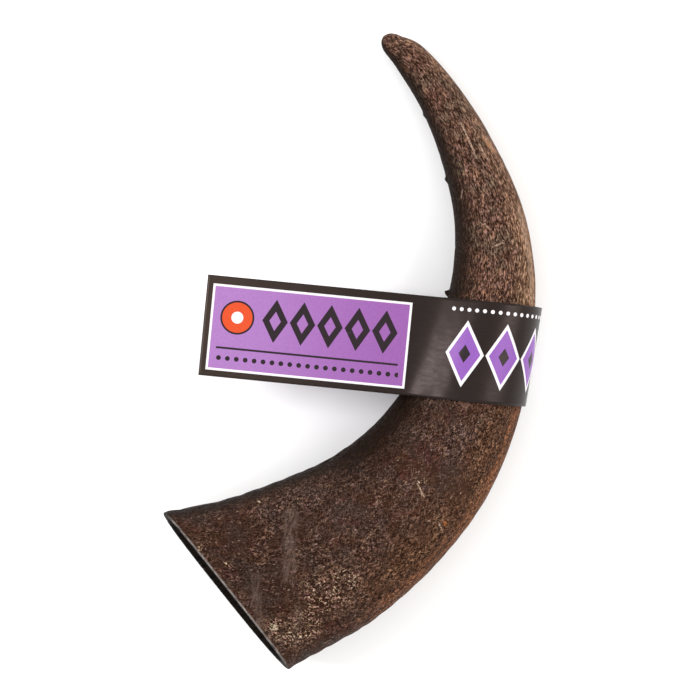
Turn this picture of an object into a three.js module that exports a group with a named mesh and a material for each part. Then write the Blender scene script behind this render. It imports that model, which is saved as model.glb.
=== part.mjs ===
// A water buffalo horn lying on its side, with a card label wrapped round it. Millimetres, +Z up.
// The horn is one piece: solid at the tip, hollow at the sawn end.
// The label is one strip of card. Its middle goes round the horn, and its two ends are glued
// together into a flag that stands off to the left.
import * as THREE from "three";
import { ParametricGeometry } from "three/addons/geometries/ParametricGeometry.js";

// ---- Driving dimensions: horn ----
// Cross-sections from the sawn end to the tip. In plan, each one runs from the inner edge
// of the bend to the outer edge. under and crown are the heights of the lowest and highest
// points, and edge is the height of the two edges, where the section is broadest.
const SECTIONS = [
  { inner: [-82.5, -70.4], outer: [-27.2, -139.8], under: 0, edge: 35, crown: 58 },
  { inner: [-53.4, -64.4], outer: [-7.4, -129.4], under: 0.4, edge: 33, crown: 57 },
  { inner: [-26.8, -55.1], outer: [12.6, -117.4], under: 0.6, edge: 30.5, crown: 55 },
  { inner: [-6.7, -45.8], outer: [38.5, -94.5], under: 0.4, edge: 28, crown: 52 },
  { inner: [11.6, -31.4], outer: [60.2, -66.3], under: 0.04, edge: 25.5, crown: 49 },
  { inner: [26.4, -12.4], outer: [74.1, -34.1], under: 1.6, edge: 23.5, crown: 46 },
  { inner: [38.2, 9.1], outer: [80.7, -0.3], under: 3.4, edge: 22, crown: 43 },
  { inner: [45, 33.2], outer: [82.6, 33.2], under: 3.8, edge: 21, crown: 39.5 },
  { inner: [46.2, 59.3], outer: [76.8, 65.3], under: 3.2, edge: 18, crown: 34 },
  { inner: [40.5, 85.8], outer: [63.3, 95.5], under: 2, edge: 14.5, crown: 27 },
  { inner: [32.1, 108.4], outer: [48.3, 119.8], under: 0.7, edge: 10.6, crown: 20.4 },
  { inner: [21.4, 126.9], outer: [32.9, 137.5], under: 0, edge: 7.6, crown: 15 },
  { inner: [15.8, 134.8], outer: [22.5, 142.9], under: 0.7, edge: 5.8, crown: 11.2 },
];
const TIP_LENGTH = 5.4; // the rounded tip beyond the last section
const TIP_TAPER = THREE.MathUtils.degToRad(20); // where the tip's arc starts, to carry on the taper
const SAW_LEAN = THREE.MathUtils.degToRad(11); // the saw cut leans back towards the tip as it rises
const LEAN_ENDS = 0.25; // share of the length at which the sections stand upright
const SQUARE_END = 2.5; // superellipse power of the sections at the sawn end, 2 being an ellipse
const SQUARE_TIP = 2; // the same from the label to the tip
const RIM_WALL = 4.5; // wall thickness at the sawn rim
const DEEP_WALL = 9; // wall thickness where the hollow starts to close
const HOLLOW_SHARE = 0.36; // share of the length over which the hollow keeps its wall
const HOLLOW_END = 0.44; // share of the length at the deepest point of the hollow

// ---- Driving dimensions: label ----
const CARD = 0.4; // card thickness
const GLUE = 0.05; // glue line between the two layers of the flag
const STRIP_WIDTH = 44;
const STRIP_TURN = THREE.MathUtils.degToRad(-5.6); // direction of the strip in plan, from +X
const FLAG_END = [-63.9, 11.02]; // middle of the flag's free end, in plan
const FLAG_HEIGHT = 38; // height of the glue line
const BEND_RADIUS = 6; // how far from each bend the card starts to curve
// Across the strip, from its near edge (towards the sawn end) to its far edge, the card
// bears on an ellipse: its centre and radii, along the strip and in height. front and back
// are where the two layers bend away from the flag, along the strip.
const NEAR_EDGE = { centre: 115.9, radius: 28.5, middle: 23.5, rise: 23.1, front: 92, back: 79 };
const FAR_EDGE = { centre: 124.6, radius: 22.9, middle: 23, rise: 21.3, front: 98, back: 80 };

const CENTRE = [0.85, 1.71]; // plan position of the box's centre, which becomes the origin

// ---- Mesh density ----
const AROUND = 44;
const OUTER_ROWS = 46;
const HOLLOW_ROWS = 16;
const CAP_ROWS = 5;
const STRIP_STEPS = 96;
const WIDTH_STEPS = 4;

const UP = new THREE.Vector3(0, 0, 1);
const lerp = THREE.MathUtils.lerp;

// ---- Horn ----
function curveThrough(pick) {
  const points = SECTIONS.map((s) => new THREE.Vector3(...pick(s)));
  return new THREE.CatmullRomCurve3(points, false, "catmullrom", 0.5);
}
const innerEdge = curveThrough((s) => [...s.inner, s.edge]);
const outerEdge = curveThrough((s) => [...s.outer, s.edge]);
const heights = curveThrough((s) => [s.under, s.edge, s.crown]);

// The section at a share of the length: its centre, its axes and its three half-sizes.
function sectionAt(share) {
  const inner = innerEdge.getPoint(share);
  const outer = outerEdge.getPoint(share);
  const { x: under, y: edge, z: crown } = heights.getPoint(share);
  const across = outer.clone().sub(inner).normalize();
  const forward = new THREE.Vector3().crossVectors(UP, across);
  const lean = SAW_LEAN * Math.max(0, 1 - share / LEAN_ENDS);
  return {
    centre: inner.clone().add(outer).multiplyScalar(0.5),
    across,
    forward,
    rise: UP.clone().addScaledVector(forward, Math.tan(lean)),
    half: inner.distanceTo(outer) / 2,
    above: crown - edge,
    below: edge - under,
    power: 2 / lerp(SQUARE_END, SQUARE_TIP, Math.min(1, share * 2.5)),
  };
}

// One row of the horn's skin: a section, the wall taken off it, its scale and its push forward.
const row = (share, wall = 0, scale = 1, push = 0) => ({ ...sectionAt(share), wall, scale, push });

function pointOnRow(r, angle, target) {
  const bow = (value) => Math.sign(value) * Math.abs(value) ** r.power;
  const side = bow(Math.cos(angle));
  const lift = bow(Math.sin(angle));
  const reach = (lift > 0 ? r.above : r.below) - r.wall;
  return target
    .copy(r.centre)
    .addScaledVector(r.across, side * (r.half - r.wall) * r.scale)
    .addScaledVector(r.rise, lift * reach * r.scale)
    .addScaledVector(r.forward, r.push);
}

function hornRows() {
  const rows = [];
  for (let i = CAP_ROWS; i > 0; i--) {
    const turn = lerp(TIP_TAPER, Math.PI / 2, i / CAP_ROWS);
    const reached = (Math.sin(turn) - Math.sin(TIP_TAPER)) / (1 - Math.sin(TIP_TAPER));
    rows.push(row(1, 0, Math.cos(turn) / Math.cos(TIP_TAPER), TIP_LENGTH * reached));
  }
  for (let i = OUTER_ROWS; i >= 0; i--) rows.push(row(i / OUTER_ROWS));
  for (let i = 0; i <= HOLLOW_ROWS; i++) {
    const depth = i / HOLLOW_ROWS;
    rows.push(row(depth * HOLLOW_SHARE, lerp(RIM_WALL, DEEP_WALL, depth)));
  }
  for (let i = 1; i <= CAP_ROWS; i++) {
    const turn = ((i / CAP_ROWS) * Math.PI) / 2;
    const share = lerp(HOLLOW_SHARE, HOLLOW_END, Math.sin(turn));
    rows.push(row(share, DEEP_WALL, Math.cos(turn)));
  }
  return rows;
}

function hornGeometry() {
  const rows = hornRows();
  const skin = (u, v, target) =>
    pointOnRow(rows[Math.round(v * (rows.length - 1))], u * 2 * Math.PI, target);
  return new ParametricGeometry(skin, AROUND, rows.length - 1);
}

// ---- Label ----
// Angles on an ellipse where the tangents from an outside point touch it: upper, then lower.
function tangentAngles(shape, along, height) {
  const x = (along - shape.centre) / shape.radius;
  const y = (height - shape.middle) / shape.rise;
  const towards = Math.atan2(y, x);
  const spread = Math.acos(1 / Math.hypot(x, y));
  return [towards - spread, towards + spread];
}

const pointOnEllipse = (shape, angle) =>
  new THREE.Vector2(
    shape.centre + shape.radius * Math.cos(angle),
    shape.middle + shape.rise * Math.sin(angle),
  );

// The route of the card's mid-surface at a share of the way across the strip.
function stripRoute(acrossShare) {
  const shape = {};
  for (const key of Object.keys(NEAR_EDGE)) {
    shape[key] = lerp(NEAR_EDGE[key], FAR_EDGE[key], acrossShare);
  }
  const topHeight = FLAG_HEIGHT + (CARD + GLUE) / 2;
  const lowHeight = FLAG_HEIGHT - (CARD + GLUE) / 2;
  const [leaves] = tangentAngles(shape, shape.front, topHeight);
  const [, returns] = tangentAngles(shape, shape.back, lowHeight);
  const touch = pointOnEllipse(shape, leaves);
  const lift = pointOnEllipse(shape, returns);
  const front = new THREE.Vector2(shape.front, topHeight);
  const back = new THREE.Vector2(shape.back, lowHeight);
  const frontOut = touch.clone().sub(front).setLength(BEND_RADIUS).add(front);
  const backIn = lift.clone().sub(back).setLength(BEND_RADIUS).add(back);
  const route = new THREE.Path();
  route.moveTo(0, topHeight);
  route.lineTo(shape.front - BEND_RADIUS, topHeight);
  route.quadraticCurveTo(front.x, front.y, frontOut.x, frontOut.y);
  route.lineTo(touch.x, touch.y);
  route.absellipse(shape.centre, shape.middle, shape.radius, shape.rise, leaves, returns, true);
  route.lineTo(backIn.x, backIn.y);
  route.quadraticCurveTo(back.x, back.y, shape.back - BEND_RADIUS, lowHeight);
  route.lineTo(0, lowHeight);
  return route;
}

function labelGeometry() {
  const flat = new THREE.BoxGeometry(1, STRIP_WIDTH, CARD, STRIP_STEPS, WIDTH_STEPS, 1);
  const along = new THREE.Vector3(Math.cos(STRIP_TURN), Math.sin(STRIP_TURN), 0);
  const across = new THREE.Vector3().crossVectors(UP, along);
  const routes = new Map();
  const vertex = new THREE.Vector3();
  const position = flat.getAttribute("position");
  for (let i = 0; i < position.count; i++) {
    vertex.fromBufferAttribute(position, i);
    const acrossShare = vertex.y / STRIP_WIDTH + 0.5;
    if (!routes.has(acrossShare)) routes.set(acrossShare, stripRoute(acrossShare));
    const route = routes.get(acrossShare);
    const alongShare = THREE.MathUtils.clamp(vertex.x + 0.5, 0, 1);
    const point = route.getPointAt(alongShare);
    const heading = route.getTangentAt(alongShare);
    const offset = vertex.z;
    const distance = point.x - heading.y * offset;
    const height = point.y + heading.x * offset;
    const placed = new THREE.Vector3(FLAG_END[0], FLAG_END[1], height)
      .addScaledVector(along, distance)
      .addScaledVector(across, vertex.y);
    position.setXYZ(i, placed.x, placed.y, placed.z);
  }
  return flat;
}

// ---- Assembly ----
function mesh(name, geometry, color, roughness) {
  const material = new THREE.MeshStandardMaterial({ color, roughness, metalness: 0 });
  const made = new THREE.Mesh(geometry, material);
  made.name = name;
  return made;
}

const hornOnTable = new THREE.Group();
hornOnTable.add(mesh("horn", hornGeometry(), 0x4a382f, 0.6));
hornOnTable.add(mesh("card_label", labelGeometry(), 0x2b2725, 0.4));
hornOnTable.position.set(-CENTRE[0], -CENTRE[1], 0);

export default hornOnTable;
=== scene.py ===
# %% [markdown]
# # A water buffalo horn with a card label
# A horn is a hollow cone of keratin, the stuff of hooves and nails, that grew in a curl round
# a core of bone. This one was sawn straight across and is sold whole, with a strip of printed
# card wrapped round its middle. The lesson builds the two pieces over a frame of plain solids that
# already has the right sizes. Lengths are in millimetres until they go into a mesh.

# %% Load the frame
import math

import bmesh
import bpy
import numpy as np
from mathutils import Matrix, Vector, noise
from mathutils.bvhtree import BVHTree


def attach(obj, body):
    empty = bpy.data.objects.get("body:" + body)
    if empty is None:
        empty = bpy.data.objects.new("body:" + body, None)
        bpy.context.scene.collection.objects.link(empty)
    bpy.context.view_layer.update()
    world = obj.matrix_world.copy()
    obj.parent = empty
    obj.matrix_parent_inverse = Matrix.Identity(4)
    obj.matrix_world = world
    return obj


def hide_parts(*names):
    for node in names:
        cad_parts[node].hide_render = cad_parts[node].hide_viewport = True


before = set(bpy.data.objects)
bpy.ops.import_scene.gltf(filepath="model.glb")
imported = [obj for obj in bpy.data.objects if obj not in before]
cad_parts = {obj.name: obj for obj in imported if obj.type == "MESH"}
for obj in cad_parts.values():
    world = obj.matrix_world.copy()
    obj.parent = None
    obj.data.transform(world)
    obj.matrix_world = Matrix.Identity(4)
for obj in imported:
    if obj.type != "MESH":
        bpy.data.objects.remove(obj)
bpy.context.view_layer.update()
scene = bpy.context.scene
MM = 0.001  # metres in a millimetre
CENTRE = (0.85, 1.71)  # plan position of the frame's origin, in the measurements below

# %% [markdown]
# ## The camera
# A horn lies down, so it is looked at from straight above. A long lens from 0.8 m keeps the
# perspective gentle. The camera comes first, so that each step can be judged in its frame.

# %% Camera
CAMERA_HEIGHT = 800
LENS = 90  # on a sensor 36 mm wide

camera = bpy.data.objects.new("camera", bpy.data.cameras.new("camera"))
camera.data.lens = LENS
camera.data.sensor_width = 36
camera.data.clip_end = 10
camera.location = Vector((-CENTRE[0], -CENTRE[1], CAMERA_HEIGHT)) * MM
scene.collection.objects.link(camera)
scene.camera = camera
print("camera", CAMERA_HEIGHT, "mm above the floor")

# %% [markdown]
# ## The run of the horn
# The horn is described by sections, as a boat is by its ribs. Each rib has an inner end on
# the concave side of the curl, an outer end on the convex side, and three heights: its lowest
# point, its two ends and its crown. A smooth curve through the ribs gives every section in
# between. The same ribs made the plain solid in the frame, so the detailed horn fits over it.

# %% Ribs of the horn
RIBS = np.array([
    # inner end      outer end        under edge crown
    (-82.5, -70.4, -27.2, -139.8, 0, 35, 58),
    (-53.4, -64.4, -7.4, -129.4, 0.4, 33, 57),
    (-26.8, -55.1, 12.6, -117.4, 0.6, 30.5, 55),
    (-6.7, -45.8, 38.5, -94.5, 0.4, 28, 52),
    (11.6, -31.4, 60.2, -66.3, 0.04, 25.5, 49),
    (26.4, -12.4, 74.1, -34.1, 1.6, 23.5, 46),
    (38.2, 9.1, 80.7, -0.3, 3.4, 22, 43),
    (45, 33.2, 82.6, 33.2, 3.8, 21, 39.5),
    (46.2, 59.3, 76.8, 65.3, 3.2, 18, 34),
    (40.5, 85.8, 63.3, 95.5, 2, 14.5, 27),
    (32.1, 108.4, 48.3, 119.8, 0.7, 10.6, 20.4),
    (21.4, 126.9, 32.9, 137.5, 0, 7.6, 15),
    (15.8, 134.8, 22.5, 142.9, 0.7, 5.8, 11.2),
])
SAW_LEAN = math.radians(11)  # the cut leans back towards the tip as it rises
LEAN_ENDS = 0.25  # share of the length at which the sections stand upright
SQUARE_END = 2.5  # superellipse power at the sawn end, 2 being an ellipse
SQUARE_TIP = 2


def curve_through(points, share):
    """Values of a smooth curve through evenly spaced points, at each share of its length."""
    ends = 2 * points[0] - points[1], 2 * points[-1] - points[-2]
    p = np.vstack([ends[0], points, ends[1]])
    at = np.clip(share, 0, 1) * (len(points) - 1)
    i = np.minimum(at.astype(int), len(points) - 2)
    t = (at - i)[:, None]
    start = (p[i + 2] - p[i]) / 2
    end = (p[i + 3] - p[i + 1]) / 2
    gap = p[i + 1] - p[i + 2]
    return (2 * gap + start + end) * t**3 - (3 * gap + 2 * start + end) * t**2 + start * t + p[i + 1]


def middle_line(share):
    """The middle of each section, in plan."""
    rib = curve_through(RIBS, share)
    return (rib[:, 0:2] + rib[:, 2:4]) / 2


ALONG = np.linspace(0, 1, 2401)
STEPS_ALONG = np.linalg.norm(np.diff(middle_line(ALONG), axis=0), axis=1)
LENGTHS = np.concatenate([[0], np.cumsum(STEPS_ALONG)])
print("horn", round(LENGTHS[-1]), "mm long round the curl")

# %% [markdown]
# ## A point on the skin
# Each section is a squarish ellipse at the sawn end and a true one from the label on. A point
# on it is given by its rib and its angle round the horn: 0 on the convex side, a quarter turn
# at the crown, half a turn on the concave side. Every point also gets its place in the horn as
# if it was straightened out. Grain and growth rings follow that place, so they run round the
# curl as they grew.


# %% Points on the skin
def power_curve(value, power):
    return np.sign(value) * np.abs(value) ** power


def skin_points(share, angle, wall=0.0, scale=1.0, push=0.0):
    """Places on the horn and in the straightened horn. wall is taken off the section, scale
    shrinks it, and push moves it towards the tip."""
    share, angle, wall, scale, push = np.broadcast_arrays(share, angle, wall, scale, push)
    rib = curve_through(RIBS, share)
    inner, outer = rib[:, 0:2], rib[:, 2:4]
    under, edge, crown = rib[:, 4], rib[:, 5], rib[:, 6]
    half = np.linalg.norm(outer - inner, axis=1) / 2
    across = (outer - inner) / (2 * half[:, None])
    forward = np.stack([-across[:, 1], across[:, 0]], axis=1)
    lean = np.tan(SAW_LEAN * np.maximum(0, 1 - share / LEAN_ENDS))
    power = 2 / (SQUARE_END + (SQUARE_TIP - SQUARE_END) * np.minimum(1, share * 2.5))
    side = power_curve(np.cos(angle), power)
    lift = power_curve(np.sin(angle), power)
    reach = np.where(lift > 0, crown - edge, edge - under) - wall
    sideways = side * (half - wall) * scale
    upwards = lift * reach * scale
    plan = (inner + outer) / 2 + across * sideways[:, None]
    plan += forward * (upwards * lean + push)[:, None]
    place = np.column_stack([plan - CENTRE, edge + upwards])
    straight = np.column_stack([sideways, upwards, np.interp(share, ALONG, LENGTHS) + push])
    return place, straight, side


def spot(length, turn_deg):
    """Place on the horn, and place in the straightened horn, at a length from the sawn end and
    an angle round it."""
    share = np.interp([length], LENGTHS, ALONG)
    place, straight, _ = skin_points(share, math.radians(turn_deg))
    return place[0], straight[0]


print("crown at mid length", [round(v, 1) for v in spot(LENGTHS[-1] / 2, 90)[0]])

# %% [markdown]
# ## The rows of the tube
# A horn is one closed skin: over the tip, down the outside, round the sawn rim, and up inside
# the hollow to where it closes. So the mesh is one tube, whose rows take those places in that
# order. The two corners of the rim get a few extra rows that round them off. The outer corner
# belongs to the skin, because it is rubbed as the skin is.

# %% Rows from the tip to the bottom of the hollow
TIP_LENGTH = 5.4  # the rounded tip beyond the last rib
TIP_TAPER = math.radians(20)  # where the tip's arc starts, to carry on the taper
RIM_WALL = 4.5
DEEP_WALL = 9  # wall where the hollow starts to close
HOLLOW_SHARE = 0.36
HOLLOW_END = 0.44
CORNER = 0.4  # radius worn on the corners of the rim
AROUND = 288
OUTER_ROWS = 272
RIM_ROWS = 6
HOLLOW_ROWS = 34
CAP_ROWS = 12
SKIN, RIM, HOLLOW = 0, 1, 2


def horn_rows():
    """Each row is its share, wall, scale, push and zone."""
    rows = []
    for i in range(CAP_ROWS, 0, -1):
        turn = TIP_TAPER + (math.pi / 2 - TIP_TAPER) * i / CAP_ROWS
        reached = (math.sin(turn) - math.sin(TIP_TAPER)) / (1 - math.sin(TIP_TAPER))
        rows.append((1, 0, math.cos(turn) / math.cos(TIP_TAPER), TIP_LENGTH * reached, SKIN))
    for i in range(OUTER_ROWS, 0, -1):
        rows.append((i / OUTER_ROWS, 0, 1, 0, SKIN))
    rows.append((0, 0, 1, CORNER, SKIN))
    rows.append((0, CORNER * 0.3, 1, CORNER * 0.3, SKIN))
    rows.append((0, CORNER, 1, 0, SKIN))
    for i in range(1, RIM_ROWS + 1):
        wall = CORNER + (RIM_WALL - 2 * CORNER) * i / RIM_ROWS
        rows.append((0, wall, 1, 0, RIM))
    rows.append((0, RIM_WALL - CORNER * 0.3, 1, CORNER * 0.3, RIM))
    rows.append((0, RIM_WALL, 1, CORNER, HOLLOW))
    for i in range(1, HOLLOW_ROWS + 1):
        depth = i / HOLLOW_ROWS
        wall = RIM_WALL + (DEEP_WALL - RIM_WALL) * depth
        rows.append((depth * HOLLOW_SHARE, wall, 1, 0, HOLLOW))
    for i in range(1, CAP_ROWS + 1):
        turn = i / CAP_ROWS * math.pi / 2
        share = HOLLOW_SHARE + (HOLLOW_END - HOLLOW_SHARE) * math.sin(turn)
        rows.append((share, DEEP_WALL, math.cos(turn), 0, HOLLOW))
    return np.array(rows, float)


ROWS = horn_rows()
print(len(ROWS), "rows of", AROUND)

# %% [markdown]
# ## A straight tube first
# A circle is swept straight up by the spin operator with no turn, one step for each row. The
# height of a vertex is then its row and its direction is its angle, so nothing about it needs
# to be written down. The tube is bent into the horn in the next step.


# %% Sweep the tube
def straight_tube():
    bm = bmesh.new()
    bmesh.ops.create_circle(bm, cap_ends=False, radius=1, segments=AROUND)
    bmesh.ops.spin(
        bm, geom=bm.edges[:], cent=(0, 0, 0), axis=(0, 0, 1), dvec=(0, 0, 1),
        angle=0, steps=len(ROWS) - 1, use_merge=False,
    )
    zones = ROWS[:, 4]
    for face in bm.faces:
        row = int(face.calc_center_median().z)
        face.material_index = int(max(zones[row], zones[row + 1]))
        face.smooth = True
    return bm


tube = straight_tube()
print("tube", len(tube.verts), "vertices,", max(v.co.z for v in tube.verts), "rows high")

# %% [markdown]
# ## Wear, rings and fibres
# Keratin grows in rings and in fibres that run from the base to the tip. Rubbing and drying
# lift small scales, leave pits, and wear the ridges. These shapes are cut into the skin, so
# that they catch light from any side. All of them are cut inwards, apart from three burrs on
# the concave side, because the ribs already give the horn's full size.

# %% Relief of the skin
INSET = 0.12  # keeps the round skin inside the faceted solid
SWELL = 0.3
RING_PITCH = 9.5
RING_DEPTH = 0.38
RING_FADE = 150  # length at which the rings have gone
FIBRE_DEPTH = 0.34
PIT_DEPTH = 0.42
SCALE_LIFT = 0.32
RIM_FADE = 7  # length over which the relief grows from nothing at the rim
FIBROUS_FROM, FIBROUS_TO = 120, 200  # lengths between which the skin turns fibrous
BURRS = [  # length, height, width: all on the concave side
    (279, 0.6, 1.2),
    (245, 1.1, 1.1),
    (187.5, 2.7, 0.95),
]


def bumps(point, width, stretch=1.0, shift=0.0):
    """Smooth noise from -1 to 1 with bumps of a width, and stretch times as long as wide."""
    x, y, z = point
    return noise.noise(Vector((x / width + shift, y / width - shift, z / width / stretch + 3 * shift)))


def smooth_step(value, low, high):
    t = np.clip((value - low) / (high - low), 0, 1)
    return t * t * (3 - 2 * t)


def skin_depth(straight):
    """How far the skin lies inside the ribs' shape. Thin parts have a finer relief."""
    length = straight[2]
    size = (1 - 0.9 * length / LENGTHS[-1]) * smooth_step(length, 0, RIM_FADE)
    swell = SWELL * (0.5 + 0.5 * bumps(straight, 40, 1.3, 2.1))
    phase = length / RING_PITCH + 1.1 * bumps(straight, 42, 1, 5.3) + 0.3 * bumps(straight, 13, 1, 8.7)
    ring = 0.5 + 0.5 * math.cos(2 * math.pi * phase)
    ring_depth = RING_DEPTH * max(0.0, 1 - length / RING_FADE) * ring * ring
    fibrous = smooth_step(length, FIBROUS_FROM, FIBROUS_TO)
    fibre = 1 - min(1.0, 2.2 * abs(bumps(straight, 2.3, 8, 1.7)))
    fibre_depth = FIBRE_DEPTH * (0.3 + 1.2 * fibrous) * fibre * (0.5 + bumps(straight, 9, 2, 6.1))
    pit = smooth_step(bumps(straight, 3.1, 1.8, 9.2), 0.38, 0.62)
    field = smooth_step(bumps(straight, 30, 1, 7.9), -0.1, 0.35)
    scale = field * smooth_step(bumps(straight, 6.5, 1.6, 4.4), 0.05, 0.16)
    scale_depth = SCALE_LIFT * (1 - scale)
    return INSET + size * (swell + ring_depth + max(0.0, fibre_depth) + PIT_DEPTH * pit + scale_depth)


print("depth at one point", round(float(skin_depth(spot(60, 90)[1])), 2), "mm")

# %% [markdown]
# ## Scabs and smooth spots
# The last of the dried skin stays on the base as scabs of pale flakes, some thick enough to feel. Elsewhere
# the skin is worn smooth and grey. The places of both are listed by length and angle. Each vertex learns
# how close it is to them, and the relief and the colour use that.

# %% Places of the scabs and the smooth spots
SCABS = [  # length, angle, radius, strength
    (38, 68, 9, 1.0),
    (49, 72, 8, 0.8),
    (33, 80, 6, 0.75),
    (27, 62, 7, 0.5),
    (11, 56, 8, 0.85),
    (6, 65, 3.5, 1.3),
    (18, 47, 7, 0.55),
    (1.5, 116, 1.6, 1.1),
    (7, 101, 2.0, 1.0),
    (35, 146, 3.0, 0.8),
    (98.5, 91, 1.7, 1.4),
    (95.5, 82, 1.4, 1.5),
    (101, 88, 2.0, 0.7),
    (92.5, 57, 1.6, 1.4),
    (62, 50, 5, 0.5),
    (128, 104, 2.2, 0.8),
    (150, 64, 4, 0.5),
    (313, 100, 3.5, 0.6),
    (20, 250, 9, 0.7),
    (70, 300, 10, 0.6),
]
SCAB_HEIGHT = 0.3
CALM_SPOTS = [  # the same, where the skin is worn smooth and grey
    (107, 66, 11, 0.9),
    (104, 109, 13, 0.8),
    (130, 103, 8, 0.7),
    (43, 113, 9, 0.7),
    (17, 122, 13, 0.7),
    (75, 250, 14, 0.8),
    (150, 280, 12, 0.7),
]


def placed(spots):
    return [(Vector(spot(length, turn)[0]), radius, strength) for length, turn, radius, strength in spots]


def nearness(place, spots):
    """The strength of a spot in its middle, and 0 away from them all."""
    share = 0.0
    for middle, radius, strength in spots:
        gap = (middle - place).length
        if gap < radius * 2:
            share += strength * math.exp(-((gap / radius) ** 2))
    return share


scabs, calm_spots = placed(SCABS), placed(CALM_SPOTS)
print(len(scabs), "scabs and flakes,", len(calm_spots), "smooth spots")

# %% [markdown]
# ## The relief of each part
# The three parts of the tube have their own relief. The skin has its rings and fibres, with
# scabs and burrs on top and chips out of the corner of the cut. The rim has the marks of the
# saw, and the hollow has the flutes that the bone left.

# %% Relief of each part
SAW_PITCH = 2.1
SAW_DEPTH = 0.1
SAW_ANGLE = math.radians(62)
RIM_WAVE = 0.15
FLUTE_DEPTH = 0.7
CHIP_DEPTH = 0.5
CHIP_LENGTH = 1.8  # how far from the cut the chips fade out


def relief_at(zone, straight, place, side):
    """How far a vertex moves along its normal, and the scab share that it carries."""
    if zone == RIM:
        run = straight[0] * math.cos(SAW_ANGLE) + straight[1] * math.sin(SAW_ANGLE)
        mark = 0.5 + 0.5 * math.sin(2 * math.pi * (run / SAW_PITCH + 0.5 * bumps(straight, 9)))
        return -SAW_DEPTH * mark - RIM_WAVE * (0.5 + 0.5 * bumps(straight, 5, 1, 3.3)), 0.0
    if zone == HOLLOW:
        flute = bumps(straight, 5.5, 9, 2.9) + 0.4 * bumps(straight, 2.2, 3, 6.6)
        return FLUTE_DEPTH * flute * smooth_step(straight[2], 0, 5), 0.0
    scab = nearness(Vector(place), scabs)
    crust = scab * smooth_step(bumps(straight, 2.4, 1, 5.9), -0.1, 0.25)
    out = -max(0.05, skin_depth(straight) - SCAB_HEIGHT * min(1.0, crust))
    chip = smooth_step(bumps(straight, 7, 1, 1.3), 0.25, 0.55) * math.exp(-straight[2] / CHIP_LENGTH)
    out -= CHIP_DEPTH * chip
    for length, height, width in BURRS:
        gap = math.hypot(straight[2] - length, straight[1] * 0.9)
        if side < -0.8 and gap < 3 * width:
            out += height * math.exp(-((gap / width) ** 2))
    return out, scab


print("saw marks", SAW_PITCH, "mm apart,", len(BURRS), "burrs")

# %% [markdown]
# ## Bend the tube into the horn
# Each vertex of the tube moves to its place on the horn, and then along its normal by the depth
# of the relief. The two ends of the tube shrink to a point each, at the tip and at the bottom
# of the hollow, and merging their vertices closes the skin. The straightened place, the side of
# the curl, and the nearness to scabs and smooth spots stay on each vertex for the finishes.

# %% Build the horn
WORN_CORNER = 1.5  # how much is rubbed off the rim's corner on the concave side
WORN_LENGTH = 1.4
POLE = 1e-6  # a row smaller than this share is a point


def build_horn(bm):
    bm.verts.ensure_lookup_table()
    flat = np.array([v.co for v in bm.verts])
    row = np.rint(flat[:, 2]).astype(int)
    angle = np.arctan2(flat[:, 1], flat[:, 0])
    share, wall, scale, push, zone = ROWS[row].T
    straight, side = skin_points(share, angle, wall, scale, push)[1:]
    wear_and_highlight = smooth_step(-side, 0.7, 1) * np.exp(-straight[:, 2] / WORN_LENGTH)
    wear_and_highlight *= np.where(zone == HOLLOW, 0, 1 - wall / RIM_WALL)
    place = skin_points(share, angle, wall + WORN_CORNER * wear_and_highlight, scale, push)[0]
    grain_layer = bm.verts.layers.float_vector.new("grain")
    side_layer = bm.verts.layers.float.new("bend_side")
    scab_layer = bm.verts.layers.float.new("scab")
    calm_layer = bm.verts.layers.float.new("calm")
    for i, vertex in enumerate(bm.verts):
        vertex.co = place[i]
        vertex[grain_layer] = straight[i]
        vertex[side_layer] = side[i]
        vertex[calm_layer] = nearness(Vector(place[i]), calm_spots) if zone[i] == SKIN else 0.0
    bmesh.ops.recalc_face_normals(bm, faces=bm.faces[:])
    if bm.calc_volume(signed=True) < 0:
        bmesh.ops.reverse_faces(bm, faces=bm.faces[:])
    bm.normal_update()
    poles = [i for i in range(len(flat)) if scale[i] < POLE]
    moves = np.zeros(len(flat))
    for i, vertex in enumerate(bm.verts):
        moves[i], vertex[scab_layer] = relief_at(zone[i], straight[i], place[i], side[i])
    moves[poles] = -INSET
    for i, vertex in enumerate(bm.verts):
        if scale[i] >= POLE:
            vertex.co = (vertex.co + vertex.normal * moves[i]) * MM
        else:
            vertex.co = vertex.co * MM
    bmesh.ops.remove_doubles(bm, verts=[bm.verts[i] for i in poles], dist=0.01 * MM)
    bmesh.ops.recalc_face_normals(bm, faces=bm.faces[:])
    print("relief from", round(moves.min(), 2), "to", round(moves.max(), 2), "mm")
    return bm


horn_mesh = build_horn(tube)
print("horn volume", round(horn_mesh.calc_volume() * 1e6), "cm3")

# %% [markdown]
# ## From a mesh to an object
# A bmesh is only a workspace. To be seen it goes into a mesh, the mesh gets its materials, and
# an object puts it in the scene. An edge that doesn't have two faces would be a hole, so those
# are counted here.


# %% Make an object
def finish_mesh(name, bm, materials):
    """Turns a bmesh into an object with its materials."""
    mesh = bpy.data.meshes.new(name)
    bm.to_mesh(mesh)
    open_edges = sum(1 for edge in bm.edges if len(edge.link_faces) != 2)
    bm.free()
    for material in materials:
        mesh.materials.append(material)
    made = bpy.data.objects.new(name, mesh)
    scene.collection.objects.link(made)
    triangles = sum(len(p.vertices) - 2 for p in mesh.polygons)
    print(name, triangles, "triangles,", open_edges, "open edges")
    return made


# %% [markdown]
# ## A recipe book for finishes
# A finish is a tree of nodes. Written out in full it is long, so a small helper gives each kind
# of node a short name: noise, ramp, mix and sums. Every finish below reads like a recipe.


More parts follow.
